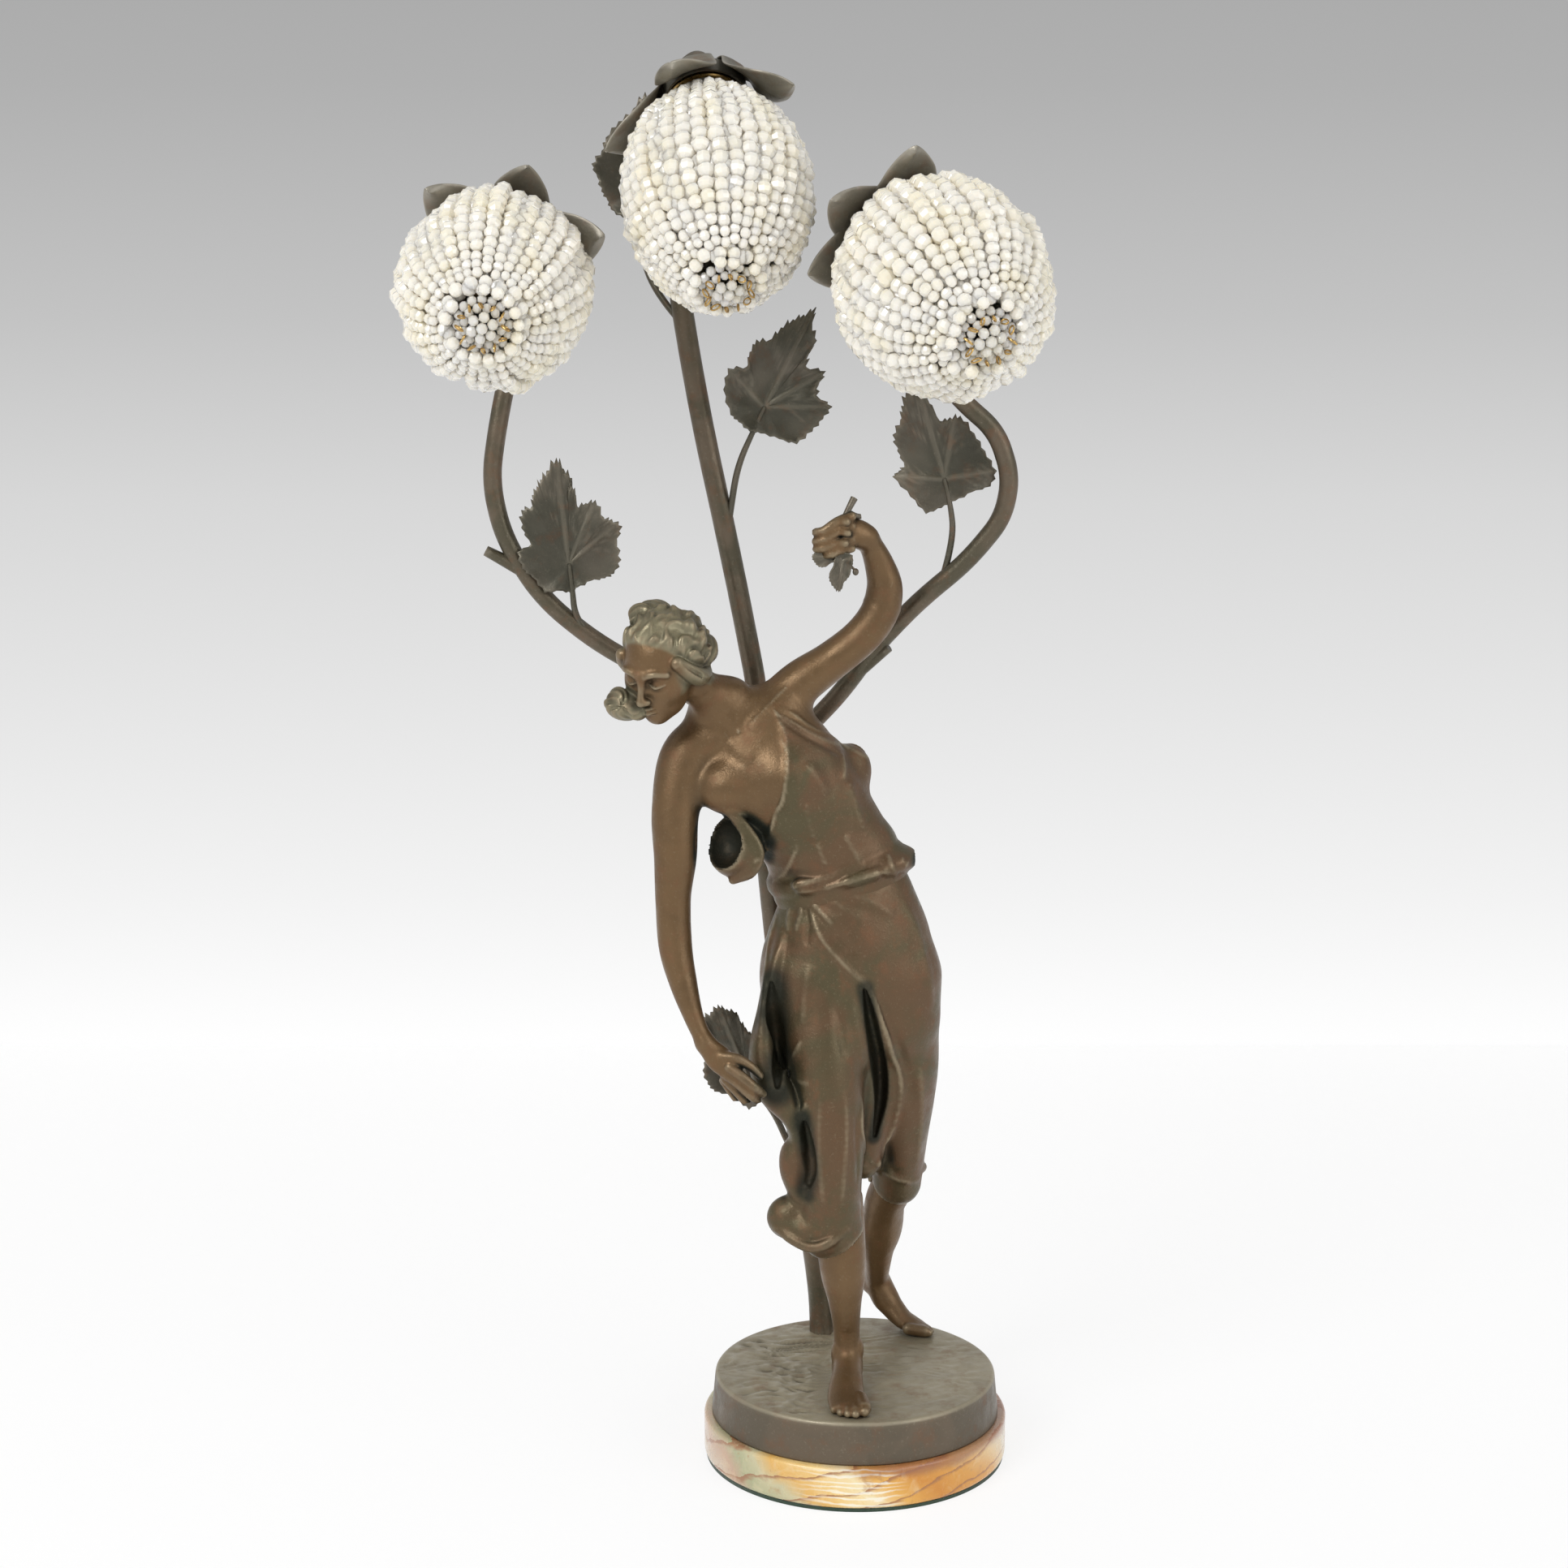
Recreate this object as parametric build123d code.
from build123d import *
from math import atan2, cos, pi, radians, sin, tan
import os

os.makedirs("parts", exist_ok=True)

# Figural table lamp: a cast figure on a round base, with a branching stem behind it,
# vine leaves, and three bud-shaped shades of glass beads on hooked branches.
# Millimetres, +Z up. The origin is the middle of the felt's underside. The figure faces -Y.
# Heights in the point lists below are counted from the top of the cast ground.

# Base
felt_thickness = 2.0
felt_radius = 87.5
plinth_radius = 88.5
plinth_height = 24.0
plinth_bevel = 2.0
plinth_recess_radius = 26.0
plinth_recess_depth = 12.0
ground_foot_radius = 84.0
ground_rim_radius = 82.0
ground_height = 24.0
ground_wall = 4.0
ground_rim_round = 1.5
centre_boss_radius = 12.0
bolt_radius = 4.0
bolt_head_radius = 7.5
bolt_head_height = 5.5
bolt_grip = 16.0
bolt_hole_clearance = 0.5
bolt_end_room = 1.0
thread_clearance = 0.05
washer_radius = 12.0
washer_thickness = 1.6
bushing_height = 11.0
bushing_radius = 6.0
bushing_flange_radius = 8.5
bushing_flange_thickness = 2.0
bushing_length = 12.0
bushing_bore_radius = 3.5

# Stem
trunk_radius = 7.25
trunk_wall = 1.5
trunk_boss_radius = 13.0
trunk_boss_depth = 14.0
trunk_nut_radius = 12.5
trunk_nut_height = 5.0
trunk_thread_end = 1.0
centre_branch_radius = 6.0
side_branch_radius = 5.25
branch_wall = 1.2
joint_clearance = 0.05
junction_radius = 10.5
junction_cap = 6.0
junction_cavity_radius = 4.6
trunk_socket_depth = 16.0
branch_socket_depth = 10.0
side_boss_radius = 8.0
side_boss_reach = 21.0
side_straight = 10.0
side_bore_radius = 3.4
wire_radius = 1.6
cable_radius = 2.6
splice_cap_radius = 5.0
splice_cap_tip_radius = 3.4
splice_cap_height = 7.0
twig_root_radius = 4.2
twig_tip_radius = 3.0
bend_share = 0.45

trunk_foot = (-18.9, 58.0, 0.0)
trunk_straight = 20.0
trunk_route = [(-34.5, 50.0, 140.0), (-48.8, 40.0, 277.0)]
junction_foot = (-53.0, 36.6, 325.0)
junction_head = (-57.2, 31.4, 392.0)
left_boss_share = 0.72
right_boss_share = 0.30
left_boss_way = (-0.90, -0.04, 0.43)
right_boss_way = (0.62, -0.15, 0.77)
centre_route = [(-66.7, 26.0, 449.7), (-76.1, 22.0, 496.0), (-85.9, 19.6, 541.7), (-94.0, 17.8, 586.0),
                (-100.6, 17.4, 628.0), (-103.2, 19.5, 676.0), (-101.2, 23.0, 718.0), (-97.5, 20.0, 741.0)]
left_route = [(-106.0, 27.2, 403.0), (-147.0, 25.2, 424.5), (-180.0, 23.2, 452.0), (-200.5, 20.4, 487.0),
              (-206.8, 18.4, 518.0), (-202.0, 16.6, 549.0), (-195.0, 19.0, 582.0), (-192.5, 29.0, 612.0),
              (-192.0, 33.4, 639.7)]
right_route = [(-9.0, 25.2, 397.0), (8.6, 18.4, 422.8), (33.2, 8.4, 450.6), (60.6, -1.4, 474.6),
               (79.5, -8.0, 499.0), (83.4, -12.2, 522.0), (75.0, -15.2, 547.0), (56.0, -17.4, 563.0),
               (37.0, -15.6, 585.0), (19.0, -12.0, 614.0), (6.0, -11.4, 648.0)]
left_twig = ((-190.5, 21.8, 468.0), (-210.5, 22.0, 478.5))
right_twig = ((-2.0, 22.0, 407.5), (17.5, 15.0, 424.5))
centre_hook_run = 24.0
left_hook_run = 16.0
right_hook_run = 18.0

# Leaves: foot of the blade, tip, blade width, and the stalk from the blade to the stem
blade_thickness = 1.1
blade_curl_radius = 70.0
stalk_radius = 1.9
stalk_overlap = 0.12
leaf_half_outline = [(0.27, 0.0), (0.36, 0.11), (0.48, 0.20), (0.51, 0.33), (0.42, 0.38), (0.52, 0.49),
                     (0.39, 0.58), (0.33, 0.69), (0.17, 0.65), (0.21, 0.80), (0.12, 0.87)]
leaf_shapes = {
    "left": ((-161.6, 18.0, 456.1), (-169.0, 12.0, 530.9), 58.0, (0.05, -1.0, 0.10),
             [(-160.5, 20.5, 441.0), (-152.0, 23.6, 430.5), (-140.5, 25.4, 421.5)]),
    "centre": ((-58.9, 12.0, 544.8), (-26.0, 6.0, 612.0), 57.0, (0.10, -1.0, 0.10),
               [(-67.6, 15.5, 527.0), (-71.4, 19.5, 505.0), (-74.1, 22.8, 486.0)]),
    "right": ((50.5, 2.0, 505.7), (30.0, -2.0, 572.0), 57.0, (-0.10, -1.0, 0.12),
              [(53.4, 2.0, 486.0), (46.5, 3.6, 462.6)]),
    "top": ((-122.5, 34.0, 668.0), (-118.0, 33.0, 732.5), 56.0, (-0.10, -1.0, 0.0),
            [(-121.8, 31.0, 645.0), (-113.5, 24.5, 622.0), (-99.0, 17.5, 606.0)]),
    "low": ((-58.5, 27.0, 163.0), (-80.6, 15.0, 218.0), 50.0, (-0.20, -1.0, 0.0),
            [(-47.5, 33.0, 146.0), (-38.5, 42.0, 122.0), (-30.0, 52.4, 101.0)]),
}

# Lamp heads: the end of the branch, the way the shade points, and the turn of the calyx about it
head_places = {
    "centre": ((-84.5, -12.0, 730.3), (0.097, -0.682, -0.725), 44.0),
    "left": ((-192.0, 2.0, 647.0), (0.0, -0.957, -0.290), 2.0),
    "right": ((16.0, -44.0, 654.0), (0.280, -0.880, -0.375), 18.0),
}
shade_radius = 51.5
shade_half_length = 72.0
shade_middle = 82.0
bead_diameter = 7.0
bead_bulge = 1.5
bead_rows = 18
bead_strings = 34
groove_angle = 3.6
groove_depth = 2.6
groove_bends = 9
groove_start = 0.5
rosette_hole_radius = 8.0
rosette_radius = 10.0
rosette_thickness = 2.0
rosette_knob_radius = 5.0
rosette_clearance = 0.3
rosette_depth_share = 0.97
inner_edge_first_row = 2
inner_edge_row_step = 3
neck_ring_wall = 1.5
neck_ring_foot = 4.0
neck_ring_end = 13.5
shade_bulb_clearance = 2.3
cup_floor = 3.0
cup_wall = 1.2
cup_clearance = 0.3
cup_rim_gap = 2.0
wire_hole_room = 1.0
hub_length = 9.0
hub_wall = 2.4
petal_count = 5
petal_thickness = 1.3
petal_reach = 52.0
petal_half_width = 17.5
petal_root_half_width = 9.0
petal_shares = [(0.31, 0.78), (0.63, 1.0), (0.86, 0.62)]
petal_outward = (0.6, -0.8)
bell_profile = [(9.0, -1.8), (16.5, -0.9), (24.5, 3.0), (31.5, 12.0), (39.5, 25.0), (47.0, 38.0),
                (52.5, 46.0)]
lampholder_radius = 13.0
lampholder_end = 34.0
socket_foot = 8.0
socket_clearance = 0.07
contact_radius = 2.5
contact_end = 12.0
contact_gap = 0.3
bulb_cap_radius = 6.93
bulb_cap_end = 35.5
bulb_radius = 17.5
bulb_middle = 59.0
bulb_neck_share = 0.8
bulb_neck_drop_share = 0.6

# Figure: each list runs along a limb, with a point and the half width and half depth there
casting_wall = 3.5
waist_tilt = (-0.20, -0.04, 0.98)
waist_point = (-12.3, -8.0, 302.0)
waist_half_width = 36.0
waist_half_depth = 25.0
torso_stations = [((-23.0, -12.0, 325.0), 34.0, 26.0), ((-35.0, -16.0, 343.0), 36.0, 29.0),
                  ((-47.0, -18.0, 358.0), 38.0, 30.0), ((-58.5, -18.0, 374.0), 36.0, 25.0),
                  ((-69.5, -18.5, 386.0), 32.0, 19.0), ((-77.0, -22.0, 397.0), 19.0, 14.0)]
hip_stations = [((-7.0, -6.5, 282.0), 40.0, 29.0), ((-5.2, -5.0, 263.0), 46.5, 32.0),
                ((-5.0, -5.0, 239.0), 50.5, 33.0), ((-3.0, -6.0, 214.0), 47.0, 29.0)]
front_thigh_stations = [((-22.0, -14.0, 236.0), 26.0, 24.0), ((-18.7, -24.0, 196.0), 22.0, 25.0),
                        ((-14.4, -31.0, 151.0), 18.6, 21.0), ((-15.0, -32.0, 127.0), 17.6, 19.5),
                        ((-16.0, -30.0, 102.0), 19.0, 20.0)]
front_hem = ((-15.4, -28.0, 82.0), 20.5, 19.5)
back_thigh_stations = [((22.0, 0.0, 236.0), 24.0, 25.0), ((24.2, 9.0, 187.0), 23.8, 25.0),
                       ((25.2, 15.0, 161.0), 21.0, 22.0), ((25.6, 22.0, 134.0), 17.0, 18.5)]
back_hem = ((25.2, 32.0, 102.0), 14.5, 15.0)
front_leg_stations = [((-8.9, -26.0, 82.0), 13.7, 14.5), ((-7.6, -26.0, 67.0), 12.8, 14.0),
                      ((-6.6, -25.0, 51.0), 9.7, 11.5), ((-5.6, -23.0, 33.0), 7.6, 9.0),
                      ((-5.0, -21.5, 18.0), 7.6, 10.0), ((-5.0, -22.0, 4.0), 8.4, 11.5)]
back_leg_stations = [((24.6, 33.6, 102.0), 11.6, 12.5), ((20.0, 42.0, 87.0), 10.6, 12.5),
                     ((17.0, 50.0, 66.0), 9.8, 11.0), ((15.6, 60.0, 42.0), 7.4, 8.5),
                     ((15.4, 66.0, 27.0), 6.8, 8.0), ((20.0, 66.0, 15.0), 6.6, 9.0)]
front_foot_outline = [(-10.0, -12.0), (-12.5, -36.0), (-15.5, -62.0), (-12.0, -74.0), (-2.0, -77.0),
                      (6.0, -70.0), (5.5, -50.0), (2.0, -30.0), (1.0, -12.0)]
front_foot_profile = [(-10.0, 0.0), (-10.0, 14.0), (-30.0, 17.0), (-50.0, 10.0), (-66.0, 6.0), (-77.0, 3.5),
                      (-77.0, 0.0)]
back_foot_stations = [((19.0, 67.0, 15.0), 6.6, 7.5), ((28.0, 61.5, 9.5), 8.0, 5.5),
                      ((37.0, 57.0, 5.0), 9.0, 4.2), ((52.0, 54.5, 2.6), 8.0, 2.5)]
back_heel = (11.5, 77.0, 17.0)
back_heel_radius = 6.5
foot_screw_radius = 2.0
foot_screw_head_radius = 4.0
foot_screw_head_height = 2.5
foot_screw_bite = 5.0
foot_screw_end_room = 0.5
foot_block = 40.0
foot_screw_places = [(-4.8, -26.0), (-4.8, -52.0)]
lowered_arm_stations = [((-82.0, -21.0, 382.0), 13.0, 13.0), ((-96.0, -25.0, 367.0), 15.0, 14.5),
                        ((-102.0, -30.0, 338.0), 13.3, 13.0), ((-102.2, -32.0, 313.0), 12.0, 12.0),
                        ((-103.6, -32.0, 289.0), 10.0, 10.5), ((-102.4, -34.0, 262.0), 9.4, 9.8),
                        ((-98.0, -38.0, 242.0), 7.8, 8.4), ((-92.0, -42.0, 223.0), 5.6, 6.4),
                        ((-85.6, -45.0, 209.0), 4.6, 5.6), ((-75.5, -48.0, 199.0), 7.2, 4.6),
                        ((-62.5, -50.0, 188.0), 5.0, 4.0), ((-54.5, -49.0, 182.5), 2.6, 2.6)]
raised_arm_stations = [((-46.0, -16.0, 396.0), 13.0, 13.0), ((-32.0, -15.0, 408.5), 12.6, 13.0),
                       ((-15.0, -14.0, 420.5), 11.0, 11.5), ((1.0, -14.0, 433.5), 10.6, 10.8),
                       ((11.0, -14.0, 447.0), 10.6, 11.0), ((14.0, -15.0, 461.0), 10.0, 10.0),
                       ((11.0, -18.0, 474.0), 8.2, 8.4), ((5.6, -23.0, 486.0), 6.4, 7.0),
                       ((-3.0, -28.0, 492.5), 8.6, 9.0), ((-12.5, -32.0, 491.5), 9.6, 7.5),
                       ((-22.0, -34.0, 488.5), 6.5, 4.5)]
skull_place = (-107.0, -48.0, 427.0)
skull_radius = 24.5
face_place = (-105.5, -57.5, 412.5)
face_radius = 19.5
neck_stations = [((-77.5, -25.0, 398.5), 12.0, 12.0), ((-88.0, -34.0, 408.0), 10.6, 11.5),
                 ((-99.0, -44.0, 418.0), 13.0, 13.0)]
hair_knots = [((-115.5, -48.0, 449.5), 10.5), ((-90.0, -44.0, 429.5), 9.5), ((-127.5, -58.0, 402.0), 10.5)]
drape_stations = [((-43.0, -17.0, 256.0), 6.0, 9.0), ((-46.5, -24.0, 236.0), 6.5, 10.0),
                  ((-48.0, -30.0, 214.0), 7.5, 10.0), ((-46.5, -35.0, 192.0), 8.5, 10.0),
                  ((-40.5, -36.0, 171.0), 9.0, 9.5),
                  ((-31.5, -34.0, 150.0), 8.0, 10.0), ((-31.0, -34.0, 131.0), 7.5, 10.0),
                  ((-36.0, -33.0, 112.0), 12.5, 9.5), ((-37.0, -32.0, 98.0), 13.5, 8.5),
                  ((-31.0, -30.0, 86.0), 10.0, 5.5)]
overlap_stations = [((2.0, -30.0, 236.0), 4.0, 7.0), ((13.5, -25.0, 212.0), 4.0, 9.0),
                    ((20.0, -17.0, 184.0), 4.0, 9.0), ((20.5, -14.0, 165.0), 4.0, 9.0),
                    ((15.0, -17.0, 145.0), 4.0, 9.0), ((9.0, -20.0, 122.0), 4.0, 9.0),
                    ((4.5, -23.0, 100.0), 3.5, 7.0)]
bodice_fold_place = (-67.0, -34.0, 319.0)
bodice_fold_radius = 15.5
sash_half_width = 41.0
sash_half_depth = 29.0
sash_height = 13.0
sash_shift = 2.0
sprig_route = [(-6.8, -30.0, 510.0), (-9.0, -35.0, 499.0), (-12.5, -43.5, 488.0), (-12.0, -40.0, 470.0)]
sprig_stem_radius = 1.7
berry_radius = 3.6
berry_steps = [0.52, 0.64, 0.76, 0.88]
berry_offset = 3.4

# Worked out
plinth_foot = felt_thickness
ground_foot = plinth_foot + plinth_height
ground_top = ground_foot + ground_height
shade_neck_radius = bulb_radius + shade_bulb_clearance + neck_ring_wall
cup_radius = shade_neck_radius + cup_clearance
bead_wall = bead_diameter - bead_bulge


def raised(point):
    """A point counted from the ground's top, in the lamp's own frame."""
    return Vector(point[0], point[1], point[2] + ground_top)


def along_z(radius, low, high, x=0.0, y=0.0):
    """A round bar that stands between two heights."""
    return Pos(x, y, low) * Cylinder(radius, high - low, align=(Align.CENTER, Align.CENTER, Align.MIN))


def bar(radius, start, end):
    """A round bar between two points."""
    way = end - start
    bar_plane = Plane(origin=start, z_dir=way)
    return bar_plane * Cylinder(radius, way.length, align=(Align.CENTER, Align.CENTER, Align.MIN))


def ball(point, radius):
    """A sphere with its seam and poles turned away from its neighbours."""
    return Pos(*point) * Rot(35, 25, 10) * Sphere(radius)


def bent_path(points):
    """Straight runs joined by arcs as large as the runs beside them allow."""
    radii = []
    for before, corner, after in zip(points, points[1:], points[2:]):
        first_run = corner - before
        next_run = after - corner
        turn = radians(first_run.get_angle(next_run))
        shorter = min(first_run.length, next_run.length)
        radii.append(bend_share * shorter / tan(turn / 2))
    return FilletPolyline(*points, radius=radii)


def pipe(points, radius, wall=0.0):
    """A bent tube, or a bent bar where it has no wall."""
    path = bent_path(points)
    section = Circle(radius)
    if wall:
        section = section - Circle(radius - wall)
    return sweep(Plane(origin=path @ 0, z_dir=path % 0) * section, path=path)


def section_plane(point, normal):
    """A plane across a limb, with its second direction as near to the lamp's depth as it can be."""
    normal = normal.normalized()
    depth = Vector(0, 1, 0) - normal * normal.Y
    return Plane(origin=point, x_dir=depth.cross(normal), z_dir=normal)


def limb(stations, shrink=0.0, first_normal=None, last_normal=None):
    """A smooth solid through elliptical sections across a line of points."""
    points = [raised(place) for place, _, _ in stations]
    sections = []
    last = len(points) - 1
    for index, (_, half_width, half_depth) in enumerate(stations):
        normal = points[min(index + 1, last)] - points[max(index - 1, 0)]
        if index == 0 and first_normal:
            normal = Vector(*first_normal)
        if index == last and last_normal:
            normal = Vector(*last_normal)
        oval = Ellipse(half_width - shrink, half_depth - shrink)
        sections.append(section_plane(points[index], normal) * oval)
    return loft(sections)


# Base
def make_felt_pad():
    return along_z(felt_radius, 0.0, felt_thickness)


def make_onyx_plinth():
    plinth = along_z(plinth_radius, plinth_foot, ground_foot)
    plinth = chamfer(plinth.edges().group_by(Axis.Z)[-1], plinth_bevel)
    plinth -= along_z(plinth_recess_radius, plinth_foot, plinth_foot + plinth_recess_depth)
    return plinth - along_z(bolt_radius + bolt_hole_clearance, plinth_foot, ground_foot)


def trunk_bore_radius():
    return trunk_radius + joint_clearance


def bushing_reach():
    """How far from the middle the bushing's flange sits: where the wall is nearest across the flange."""
    lean = (ground_foot_radius - ground_rim_radius) / ground_height
    low_edge = ground_foot_radius - lean * (bushing_height - bushing_flange_radius)
    high_edge = ground_foot_radius - lean * (bushing_height + bushing_flange_radius)
    return min(low_edge, high_edge)


def make_ground_base():
    base_align = (Align.CENTER, Align.CENTER, Align.MIN)
    outer = Cone(ground_foot_radius, ground_rim_radius, ground_height, align=base_align)
    outer = fillet(outer.edges().group_by(Axis.Z)[-1], ground_rim_round)
    inner = Cone(ground_foot_radius - ground_wall, ground_rim_radius - ground_wall,
                 ground_height - ground_wall, align=base_align)
    casting = Pos(0, 0, ground_foot) * (outer - inner)
    casting += along_z(centre_boss_radius, ground_foot, ground_top - ground_wall / 2)
    casting += along_z(trunk_boss_radius, ground_top - trunk_boss_depth, ground_top - ground_wall / 2,
                       trunk_foot[0], trunk_foot[1])
    casting -= along_z(bolt_radius + thread_clearance, ground_foot, ground_foot + bolt_grip + bolt_end_room)
    casting -= along_z(trunk_bore_radius(), ground_foot, ground_top, trunk_foot[0], trunk_foot[1])
    for x, y in foot_screw_places:
        casting -= along_z(foot_screw_radius + thread_clearance, ground_top - ground_wall, ground_top, x, y)
    inlet_height = ground_foot + bushing_height
    seat = Vector(0, bushing_reach(), inlet_height)
    inside = Vector(0, bushing_reach() - bushing_length, inlet_height)
    outside = Vector(0, bushing_reach() + 2 * ground_wall, inlet_height)
    casting -= bar(bushing_flange_radius + thread_clearance, seat, outside)
    return casting - bar(bushing_radius, inside, outside)


def make_plinth_bolt():
    seat = plinth_foot + plinth_recess_depth - washer_thickness
    head = Pos(0, 0, seat - bolt_head_height) * extrude(RegularPolygon(bolt_head_radius, 6), bolt_head_height)
    return head + along_z(bolt_radius, seat, ground_foot + bolt_grip)


def make_plinth_washer():
    seat = plinth_foot + plinth_recess_depth
    washer = along_z(washer_radius, seat - washer_thickness, seat)
    return washer - along_z(bolt_radius + thread_clearance, seat - washer_thickness, seat)


def make_cord_bushing():
    height = ground_foot + bushing_height
    outside = bushing_reach()
    middle = Vector(0, outside, height)
    inner_end = Vector(0, outside - bushing_length, height)
    outer_end = Vector(0, outside + bushing_flange_thickness, height)
    sleeve = bar(bushing_radius, inner_end, middle) + bar(bushing_flange_radius, middle, outer_end)
    return sleeve - bar(bushing_bore_radius, inner_end, outer_end)


def make_foot_screws():
    seat = ground_top - ground_wall
    screws = []
    for x, y in foot_screw_places:
        shank = along_z(foot_screw_radius, seat, ground_top + foot_screw_bite, x, y)
        screws.append(shank + along_z(foot_screw_head_radius, seat - foot_screw_head_height, seat, x, y))
    return Compound(screws)


def screw_holes():
    """The holes that the foot screws need in the feet."""
    deep = ground_top + foot_screw_bite + foot_screw_end_room
    holes = [along_z(foot_screw_radius + thread_clearance, ground_top, deep, x, y)
             for x, y in foot_screw_places]
    return Compound(holes)


def trunk_nut_top():
    return ground_top - trunk_boss_depth


def make_trunk_nut():
    x, y, _ = trunk_foot
    low = trunk_nut_top() - trunk_nut_height
    nut = Pos(x, y, low) * extrude(RegularPolygon(trunk_nut_radius, 6), trunk_nut_height)
    return nut - along_z(trunk_radius + thread_clearance, low, trunk_nut_top(), x, y)


def make_splice_cap():
    x, y, _ = trunk_foot
    cap = Cone(splice_cap_radius, splice_cap_tip_radius, splice_cap_height,
               align=(Align.CENTER, Align.CENTER, Align.MIN))
    return Pos(x, y, ground_foot) * cap


# Stem
def junction_axis():
    return (raised(junction_head) - raised(junction_foot)).normalized()


def boss_start(share):
    """The point on the junction's axis that a side boss springs from."""
    foot = raised(junction_foot)
    return foot + (raised(junction_head) - foot) * share


def boss_end(share, way):
    return boss_start(share) + Vector(*way).normalized() * side_boss_reach


def socket_start(share, way):
    """Where a side branch's end rests inside its boss."""
    return boss_end(share, way) - Vector(*way).normalized() * branch_socket_depth


def head_point(name):
    return raised(head_places[name][0])


def head_axis(name):
    return Vector(*head_places[name][1]).normalized()


def trunk_points():
    foot = raised(trunk_foot)
    below = foot - Vector(0, 0, trunk_boss_depth + trunk_nut_height + trunk_thread_end)
    top = raised(junction_foot)
    inside = top + junction_axis() * trunk_socket_depth
    first_bend = foot + Vector(0, 0, trunk_straight)
    return [below, first_bend] + [raised(point) for point in trunk_route] + [top, inside]


def centre_points():
    top = raised(junction_head)
    end = head_point("centre")
    hook = end - head_axis("centre") * centre_hook_run
    route = [raised(point) for point in centre_route]
    first_bend = top + junction_axis() * side_straight
    return [top - junction_axis() * branch_socket_depth, first_bend] + route + [hook, end]


def side_points(name, route, share, way, hook_run):
    end = head_point(name)
    hook = end - head_axis(name) * hook_run
    inner = socket_start(share, way)
    first_bend = boss_end(share, way) + Vector(*way).normalized() * side_straight
    return [inner, first_bend] + [raised(point) for point in route] + [hook, end]


def left_points():
    return side_points("left", left_route, left_boss_share, left_boss_way, left_hook_run)


def right_points():
    return side_points("right", right_route, right_boss_share, right_boss_way, right_hook_run)


def make_trunk():
    return pipe(trunk_points(), trunk_radius, trunk_wall)


def twig(ends, branch_solid):
    """A pruned side shoot, a short taper that grows from a branch."""
    root, tip = (raised(point) for point in ends)
    way = tip - root
    shoot = Plane(origin=root, z_dir=way) * Cone(twig_root_radius, twig_tip_radius, way.length,
                                                 align=(Align.CENTER, Align.CENTER, Align.MIN))
    return shoot - branch_solid


def make_side_branch(points, ends):
    """A side branch with its side shoot brazed on."""
    tube = pipe(points, side_branch_radius, branch_wall)
    return tube + twig(ends, pipe(points, side_branch_radius - branch_wall / 2))


def make_junction():
    foot = raised(junction_foot)
    head = raised(junction_head)
    axis = junction_axis()
    casting = bar(junction_radius, foot, head - axis * junction_cap)
    cap_plane = Plane(origin=head - axis * junction_cap, z_dir=axis)
    cap = Cone(junction_radius, centre_branch_radius + hub_wall, junction_cap,
               align=(Align.CENTER, Align.CENTER, Align.MIN))
    casting += cap_plane * cap
    sides = [(left_boss_share, left_boss_way), (right_boss_share, right_boss_way)]
    for share, way in sides:
        casting += bar(side_boss_radius, boss_start(share), boss_end(share, way))
    casting -= bar(trunk_bore_radius(), foot, foot + axis * trunk_socket_depth)
    casting -= bar(centre_branch_radius + joint_clearance, head - axis * branch_socket_depth, head)
    casting -= bar(junction_cavity_radius, foot, head)
    for share, way in sides:
        casting -= bar(side_bore_radius, boss_start(share), boss_end(share, way))
        casting -= bar(side_branch_radius + joint_clearance, socket_start(share, way), boss_end(share, way))
    return casting


def make_trunk_cable():
    points = trunk_points()
    low = Vector(trunk_foot[0], trunk_foot[1], ground_foot + splice_cap_height)
    top = boss_start(left_boss_share)
    return pipe([low] + points[1:-1] + [top], cable_radius)


def lead_end(name):
    """The underside of the lampholder, where a branch's lead arrives."""
    return head_point(name) + head_axis(name) * cup_floor


def make_lead(name, points, start):
    return pipe([start] + points[1:-1] + [lead_end(name)], wire_radius)


# Leaves
def leaf_blade(foot, tip, width, facing):
    """A toothed vine-leaf blade, curled about its midrib."""
    length = (tip - foot).length
    spine = (tip - foot).normalized()
    face = Vector(*facing)
    face = (face - spine * face.dot(spine)).normalized()
    right_side = [(x * width, y * length) for x, y in leaf_half_outline]
    left_side = [(-x, y) for x, y in reversed(right_side)]
    outline = Polyline((0, 0), *right_side, (0, length), *left_side, (0, 0))
    prism = extrude(make_face(outline), amount=blade_curl_radius / 3, both=True)
    curl_axis = Plane(origin=(0, 0, blade_curl_radius), z_dir=(0, 1, 0))
    cylinder_align = (Align.CENTER, Align.CENTER, Align.CENTER)
    shell = Cylinder(blade_curl_radius, 3 * length, align=cylinder_align)
    shell -= Cylinder(blade_curl_radius - blade_thickness, 3 * length, align=cylinder_align)
    blade = prism & (curl_axis * shell)
    return Plane(origin=foot, x_dir=spine.cross(face), z_dir=face) * blade


def make_leaf(name, stem_solid):
    foot, tip, width, facing, stalk = leaf_shapes[name]
    foot = raised(foot)
    tip = raised(tip)
    blade = leaf_blade(foot, tip, width, facing)
    midrib_start = foot + (tip - foot) * stalk_overlap
    stalk_points = [midrib_start, foot] + [raised(point) for point in stalk]
    return (blade + pipe(stalk_points, stalk_radius)) - stem_solid


# Lamp heads
def head_plane(name):
    """The frame of a lamp head: its origin is the branch's end, and its Z runs down the shade."""
    axis = head_axis(name)
    return Plane(origin=head_point(name), x_dir=Vector(0, 0, 1).cross(axis), z_dir=axis)


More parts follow.
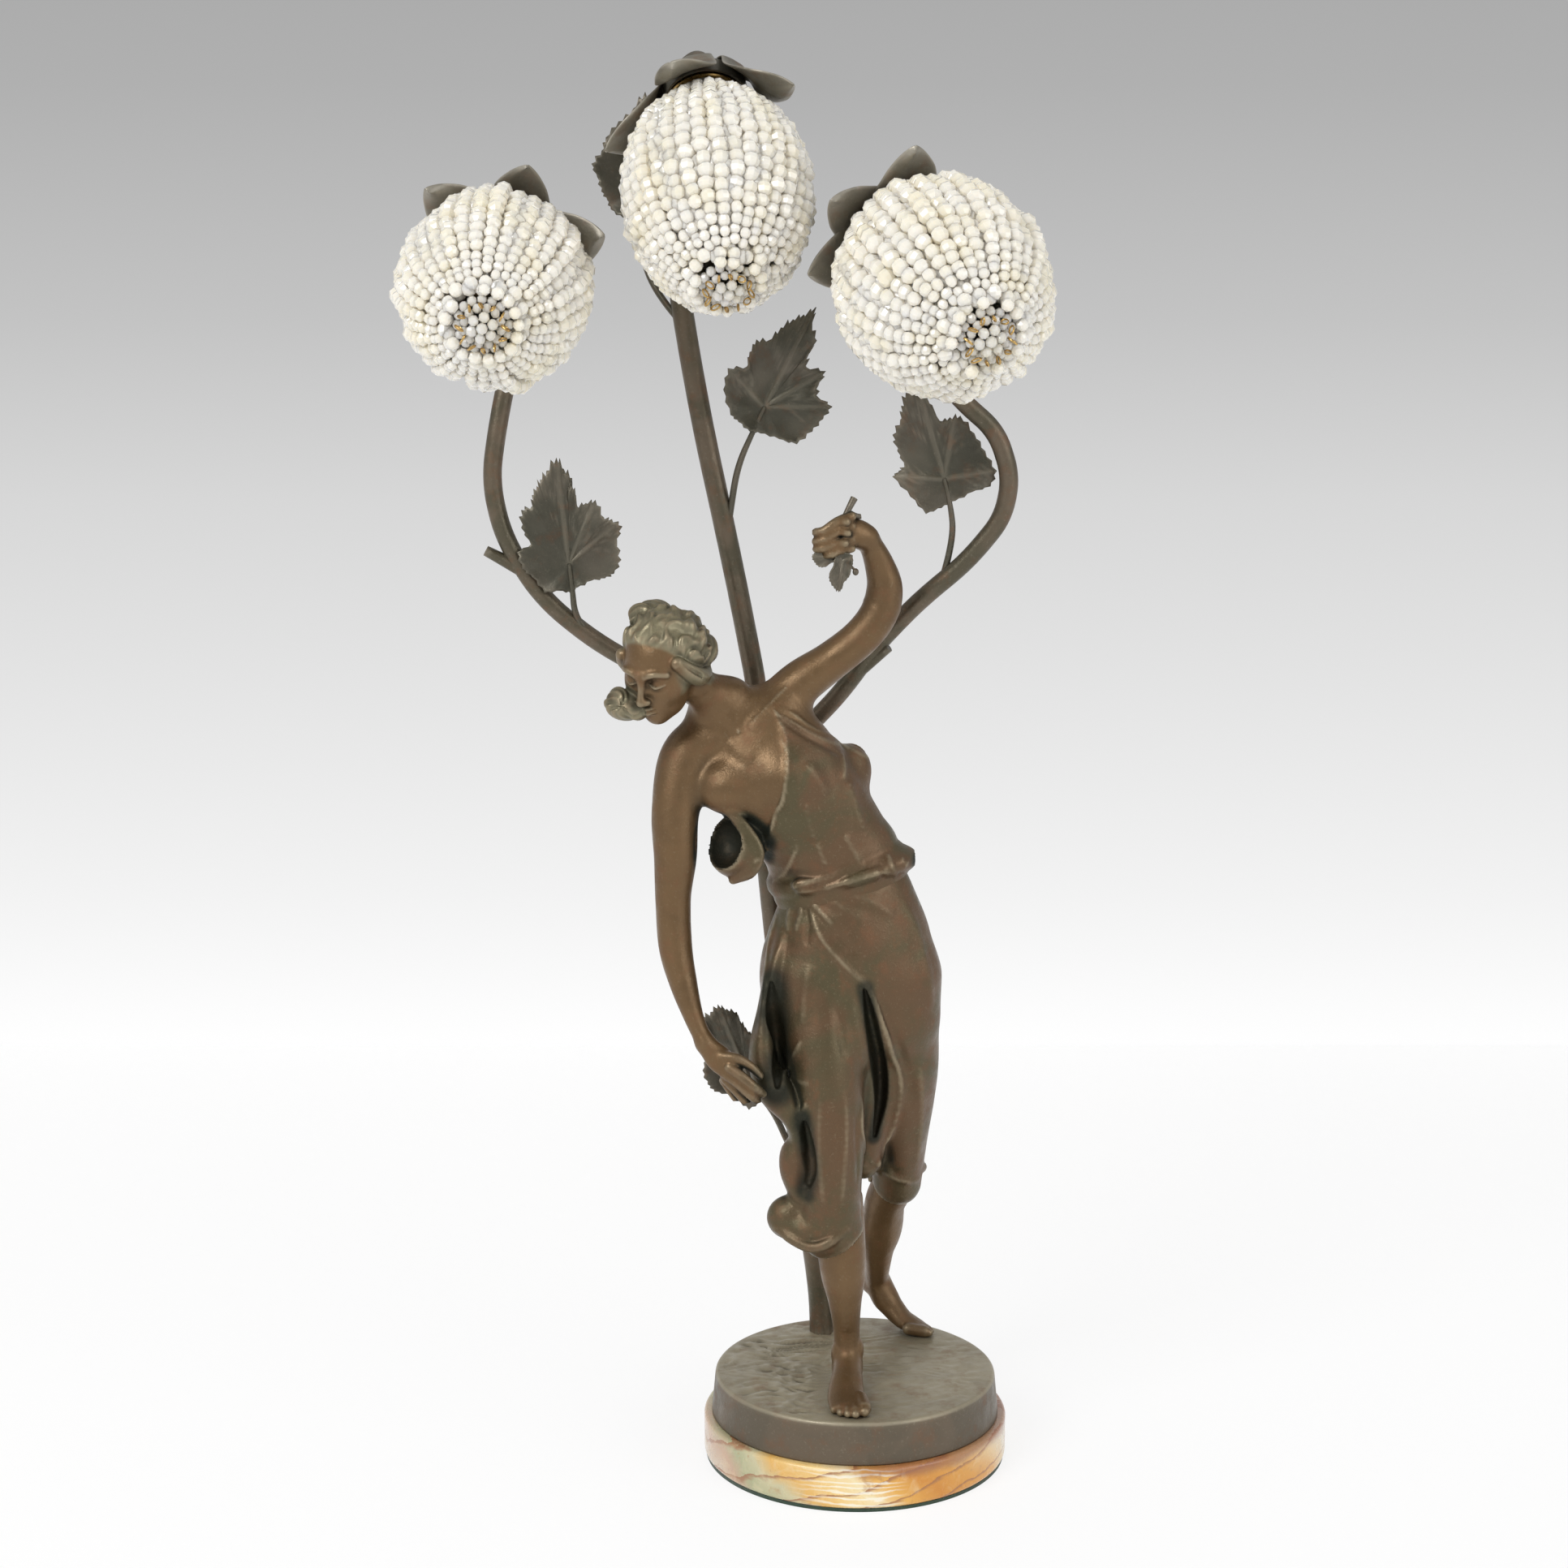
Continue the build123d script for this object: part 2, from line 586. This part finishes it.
def turned(points):
    """A solid turned about the head's axis, from corners given as radius and distance."""
    profile = Polyline(*[(radius, 0, height) for radius, height in points], close=True)
    return revolve(make_face(profile), Axis.Z, 360)


def petal_outline():
    """The calyx seen along its axis: a ring of pointed petals."""
    bends = [(along * petal_reach, share * petal_half_width) for along, share in petal_shares]
    upper = Spline((0.0, petal_root_half_width), *bends, (petal_reach, 0.0))
    lower = mirror(upper, Plane.XZ)
    petal = make_face([upper, lower, Line((0.0, petal_root_half_width), (0.0, -petal_root_half_width))])
    flower = Circle(cup_radius)
    for index in range(petal_count):
        flower += Rot(0, 0, 360.0 * index / petal_count) * petal
    return flower


def make_calyx(name, branch_radius):
    """The hub that holds the branch's end, the cup that holds the shade, and the petals."""
    inner_edge = Spline(*[(radius, 0, height) for radius, height in bell_profile])
    out, back = petal_outward
    outer_edge = Spline(*[(radius + out * petal_thickness, 0, height + back * petal_thickness)
                          for radius, height in bell_profile])
    inner_start, inner_end = inner_edge @ 0, inner_edge @ 1
    outer_start, outer_end = outer_edge @ 0, outer_edge @ 1
    band = make_face([inner_edge, Line(inner_end, outer_end), outer_edge, Line(outer_start, inner_start)])
    bell = revolve(band, Axis.Z, 360)
    flower = Pos(0, 0, -hub_length) * extrude(petal_outline(), 2 * petal_reach)
    petals = bell & flower
    bore = branch_radius + joint_clearance
    hub = turned([(bore, -hub_length), (bore + hub_wall, -hub_length), (bore + hub_wall, 0.0), (bore, 0.0)])
    rim = neck_ring_end - cup_rim_gap
    wire_hole = wire_radius + wire_hole_room
    cup = turned([(wire_hole, 0.0), (cup_radius + cup_wall, 0.0), (cup_radius + cup_wall, rim),
                  (cup_radius, rim), (cup_radius, cup_floor), (wire_hole, cup_floor)])
    calyx = Rot(0, 0, head_places[name][2]) * petals + hub + cup
    return head_plane(name) * calyx


def make_lampholder(name):
    holder = along_z(lampholder_radius, cup_floor, lampholder_end)
    holder -= along_z(bulb_cap_radius + socket_clearance, socket_foot, lampholder_end)
    return head_plane(name) * holder


def make_contact(name):
    return head_plane(name) * along_z(contact_radius, socket_foot, contact_end)


def make_bulb_cap(name):
    return head_plane(name) * along_z(bulb_cap_radius, contact_end + contact_gap, bulb_cap_end)


def make_bulb_glass(name):
    neck_height = bulb_middle - bulb_neck_drop_share * bulb_radius - bulb_cap_end
    neck = Cone(bulb_cap_radius, bulb_neck_share * bulb_radius, neck_height,
                align=(Align.CENTER, Align.CENTER, Align.MIN))
    glass = Pos(0, 0, bulb_cap_end) * neck + ball((0, 0, bulb_middle), bulb_radius)
    return head_plane(name) * glass


def make_shade_ring(name):
    ring = along_z(shade_neck_radius, neck_ring_foot, neck_ring_end)
    ring -= along_z(shade_neck_radius - neck_ring_wall, neck_ring_foot, neck_ring_end)
    return head_plane(name) * ring


def shade_point(angle, offset):
    """A point of the shade's egg-shaped profile, moved inwards by an offset."""
    return ((shade_radius - offset) * sin(angle), shade_middle - (shade_half_length - offset) * cos(angle))


def shade_angles():
    """The profile's angles at the neck and at the rosette."""
    neck = atan2(shade_neck_radius / shade_radius, (shade_middle - neck_ring_end) / shade_half_length)
    rosette = pi - atan2((rosette_hole_radius + bead_wall) / shade_radius, rosette_depth_share)
    return neck, rosette


def make_groove():
    """The gap between two strings of beads: a slice of the net's outside, along one side of the egg."""
    first, last = shade_angles()
    step = (last - first) / groove_bends
    angles = [first + step * (bend + groove_start) for bend in range(groove_bends)]
    deep = [shade_point(angle, groove_depth) for angle in angles]
    clear = [shade_point(angle, -groove_depth) for angle in angles]
    bottom = Spline(*[(radius, 0, height) for radius, height in deep])
    outside = Polyline(*[(radius, 0, height) for radius, height in deep[:1] + clear + deep[-1:]])
    outline = make_face([bottom, outside])
    return Rot(Z=-groove_angle / 2) * revolve(outline, Axis.Z, groove_angle)


def make_bead_net():
    """The bead net as one shell along Z, open at the neck: a ridge for each row, a groove between strings."""
    first, last = shade_angles()
    inner = bead_wall
    step = (last - first) / bead_rows
    valleys = [shade_point(first + step * row, bead_bulge) for row in range(bead_rows + 1)]
    peaks = [shade_point(first + step * (row + 0.5), 0.0) for row in range(bead_rows)]
    start_height = neck_ring_end
    edges = []
    valleys[0] = (shade_neck_radius, start_height)
    for row in range(bead_rows):
        low, peak, high = valleys[row], peaks[row], valleys[row + 1]
        edges.append(ThreePointArc((low[0], 0, low[1]), (peak[0], 0, peak[1]), (high[0], 0, high[1])))
    inner_rows = range(inner_edge_first_row, bead_rows, inner_edge_row_step)
    inner_points = [shade_point(first + step * row, inner) for row in inner_rows]
    neck_inside = (shade_neck_radius - neck_ring_wall, 0, start_height)
    hole_inside = (rosette_hole_radius, 0, shade_point(last, inner)[1])
    hole_outside = (rosette_hole_radius, 0, valleys[-1][1])
    inner_edge = Spline(neck_inside, *[(radius, 0, height) for radius, height in inner_points], hole_inside)
    outer_start = (valleys[0][0], 0, valleys[0][1])
    outer_end = (valleys[-1][0], 0, valleys[-1][1])
    edges += [Line(outer_end, hole_outside), Line(hole_outside, hole_inside), inner_edge,
              Line(neck_inside, outer_start)]
    net = revolve(make_face(edges), Axis.Z, 360)
    groove = make_groove()
    turn = 360 / bead_strings
    return net - [Rot(Z=turn * (string + 0.5)) * groove for string in range(bead_strings)]


def make_shade_rosette(name):
    _, last = shade_angles()
    rim = shade_point(last, bead_bulge)
    seat = rim[1]
    disc = along_z(rosette_radius, seat, seat + rosette_thickness)
    plug = along_z(rosette_hole_radius - rosette_clearance, seat - rosette_thickness, seat)
    knob = ball((0, 0, seat + rosette_thickness), rosette_knob_radius)
    return head_plane(name) * (disc + plug + knob)


# Figure
def make_torso():
    stations = [(waist_point, waist_half_width, waist_half_depth)] + torso_stations
    return limb(stations, first_normal=waist_tilt)


def make_hollow_torso():
    hollow = [(waist_point, waist_half_width, waist_half_depth)] + torso_stations[:-1]
    return make_torso() - limb(hollow, casting_wall, first_normal=waist_tilt)


def skirt_solid(shrink=0.0):
    """The skirt's outer form, or its hollow: hips and two thighs down to the hems."""
    hips = limb([(waist_point, waist_half_width, waist_half_depth)] + hip_stations, shrink,
                first_normal=(-waist_tilt[0], -waist_tilt[1], -waist_tilt[2]), last_normal=(0, 0, -1))
    front = limb(front_thigh_stations + [front_hem], shrink, last_normal=(0, 0, -1))
    back = limb(back_thigh_stations + [back_hem], shrink, last_normal=(0, 0, -1))
    return hips + front + back


def make_front_leg():
    leg = limb(front_leg_stations, first_normal=(0, 0, -1), last_normal=(0, 0, -1))
    outline = make_face(Polyline(*front_foot_outline, close=True))
    plan = Pos(0, 0, ground_top) * extrude(outline, foot_block)
    profile = [(0, y, z + ground_top) for y, z in front_foot_profile]
    side = extrude(make_face(Polyline(*profile, close=True)), foot_block, both=True, dir=(1, 0, 0))
    return leg + (plan & side) - screw_holes()


def make_back_leg():
    leg = limb(back_leg_stations, first_normal=(0, 0, -1))
    foot = limb(back_foot_stations)
    heel = ball(raised(back_heel), back_heel_radius)
    below_ground = along_z(2 * ground_foot_radius, ground_foot, ground_top)
    return leg + foot + heel - below_ground


def make_head():
    head = ball(raised(skull_place), skull_radius) + ball(raised(face_place), face_radius)
    for place, radius in hair_knots:
        head += ball(raised(place), radius)
    return head + limb(neck_stations)


def make_sash():
    waist_plane = section_plane(raised(waist_point), Vector(*waist_tilt))
    band = extrude(Ellipse(sash_half_width, sash_half_depth), sash_height / 2, both=True)
    return waist_plane * (Pos(sash_shift, 0, 0) * band)


def make_bodice_fold():
    return ball(raised(bodice_fold_place), bodice_fold_radius)


def make_sprig():
    """The twig with berries that the raised hand holds."""
    points = [raised(point) for point in sprig_route]
    path = bent_path(points)
    sprig = pipe(points, sprig_stem_radius)
    for index, step in enumerate(berry_steps):
        side = berry_offset if index % 2 else -berry_offset
        sprig += ball(path @ step + Vector(side, 0, 0), berry_radius)
    return sprig


# The whole lamp
nodes = {
    "felt_pad": make_felt_pad(),
    "onyx_plinth": make_onyx_plinth(),
    "ground_base": make_ground_base(),
    "plinth_bolt": make_plinth_bolt(),
    "plinth_washer": make_plinth_washer(),
    "cord_bushing": make_cord_bushing(),
    "foot_screws": make_foot_screws(),
    "trunk_nut": make_trunk_nut(),
    "splice_cap": make_splice_cap(),
    "trunk": make_trunk(),
    "branch_junction": make_junction(),
    "centre_branch": pipe(centre_points(), centre_branch_radius, branch_wall),
    "left_branch": make_side_branch(left_points(), left_twig),
    "right_branch": make_side_branch(right_points(), right_twig),
    "trunk_cable": make_trunk_cable(),
}
cable = nodes["trunk_cable"]
nodes["centre_lead"] = make_lead("centre", centre_points(), boss_start(left_boss_share))
nodes["left_lead"] = make_lead("left", left_points(), boss_start(left_boss_share))
nodes["left_lead"] = nodes["left_lead"] - cable - nodes["centre_lead"]
nodes["right_lead"] = make_lead("right", right_points(), boss_start(right_boss_share)) - cable

stem_of_leaf = {
    "left": pipe(left_points(), side_branch_radius),
    "centre": pipe(centre_points(), centre_branch_radius),
    "right": pipe(right_points(), side_branch_radius),
    "top": pipe(centre_points(), centre_branch_radius),
    "low": pipe(trunk_points(), trunk_radius),
}
for leaf_name in leaf_shapes:
    nodes["leaf_" + leaf_name] = make_leaf(leaf_name, stem_of_leaf[leaf_name])

branch_radii = {"centre": centre_branch_radius, "left": side_branch_radius, "right": side_branch_radius}
bead_net = make_bead_net()
for head_name in head_places:
    nodes["calyx_" + head_name] = make_calyx(head_name, branch_radii[head_name])
    nodes["lampholder_" + head_name] = make_lampholder(head_name)
    nodes["contact_" + head_name] = make_contact(head_name)
    nodes["bulb_cap_" + head_name] = make_bulb_cap(head_name)
    nodes["bulb_glass_" + head_name] = make_bulb_glass(head_name)
    nodes["shade_ring_" + head_name] = make_shade_ring(head_name)
    nodes["shade_beads_" + head_name] = head_plane(head_name) * bead_net
    nodes["shade_rosette_" + head_name] = make_shade_rosette(head_name)

torso = make_torso()
skirt = skirt_solid()
head_solid = make_head() - torso
lowered_arm = limb(lowered_arm_stations) - torso
raised_arm = limb(raised_arm_stations) - torso - head_solid
drape = limb(drape_stations) - skirt - lowered_arm
nodes["figure_torso"] = make_hollow_torso()
nodes["figure_skirt"] = skirt - skirt_solid(casting_wall)
nodes["figure_head"] = head_solid
nodes["figure_lowered_arm"] = lowered_arm
nodes["figure_raised_arm"] = raised_arm
nodes["figure_front_leg"] = make_front_leg()
nodes["figure_back_leg"] = make_back_leg()
nodes["skirt_drape"] = drape
nodes["skirt_overlap"] = limb(overlap_stations) - skirt
nodes["waist_sash"] = make_sash() - torso - skirt
nodes["bodice_fold"] = make_bodice_fold() - torso - lowered_arm
nodes["berry_sprig"] = make_sprig() - raised_arm

for node_name, shape in nodes.items():
    export_step(shape, "parts/" + node_name + ".step")
    print(f"{node_name:22s} {len(shape.solids())} solid, {shape.volume / 1000:8.2f} cm3")
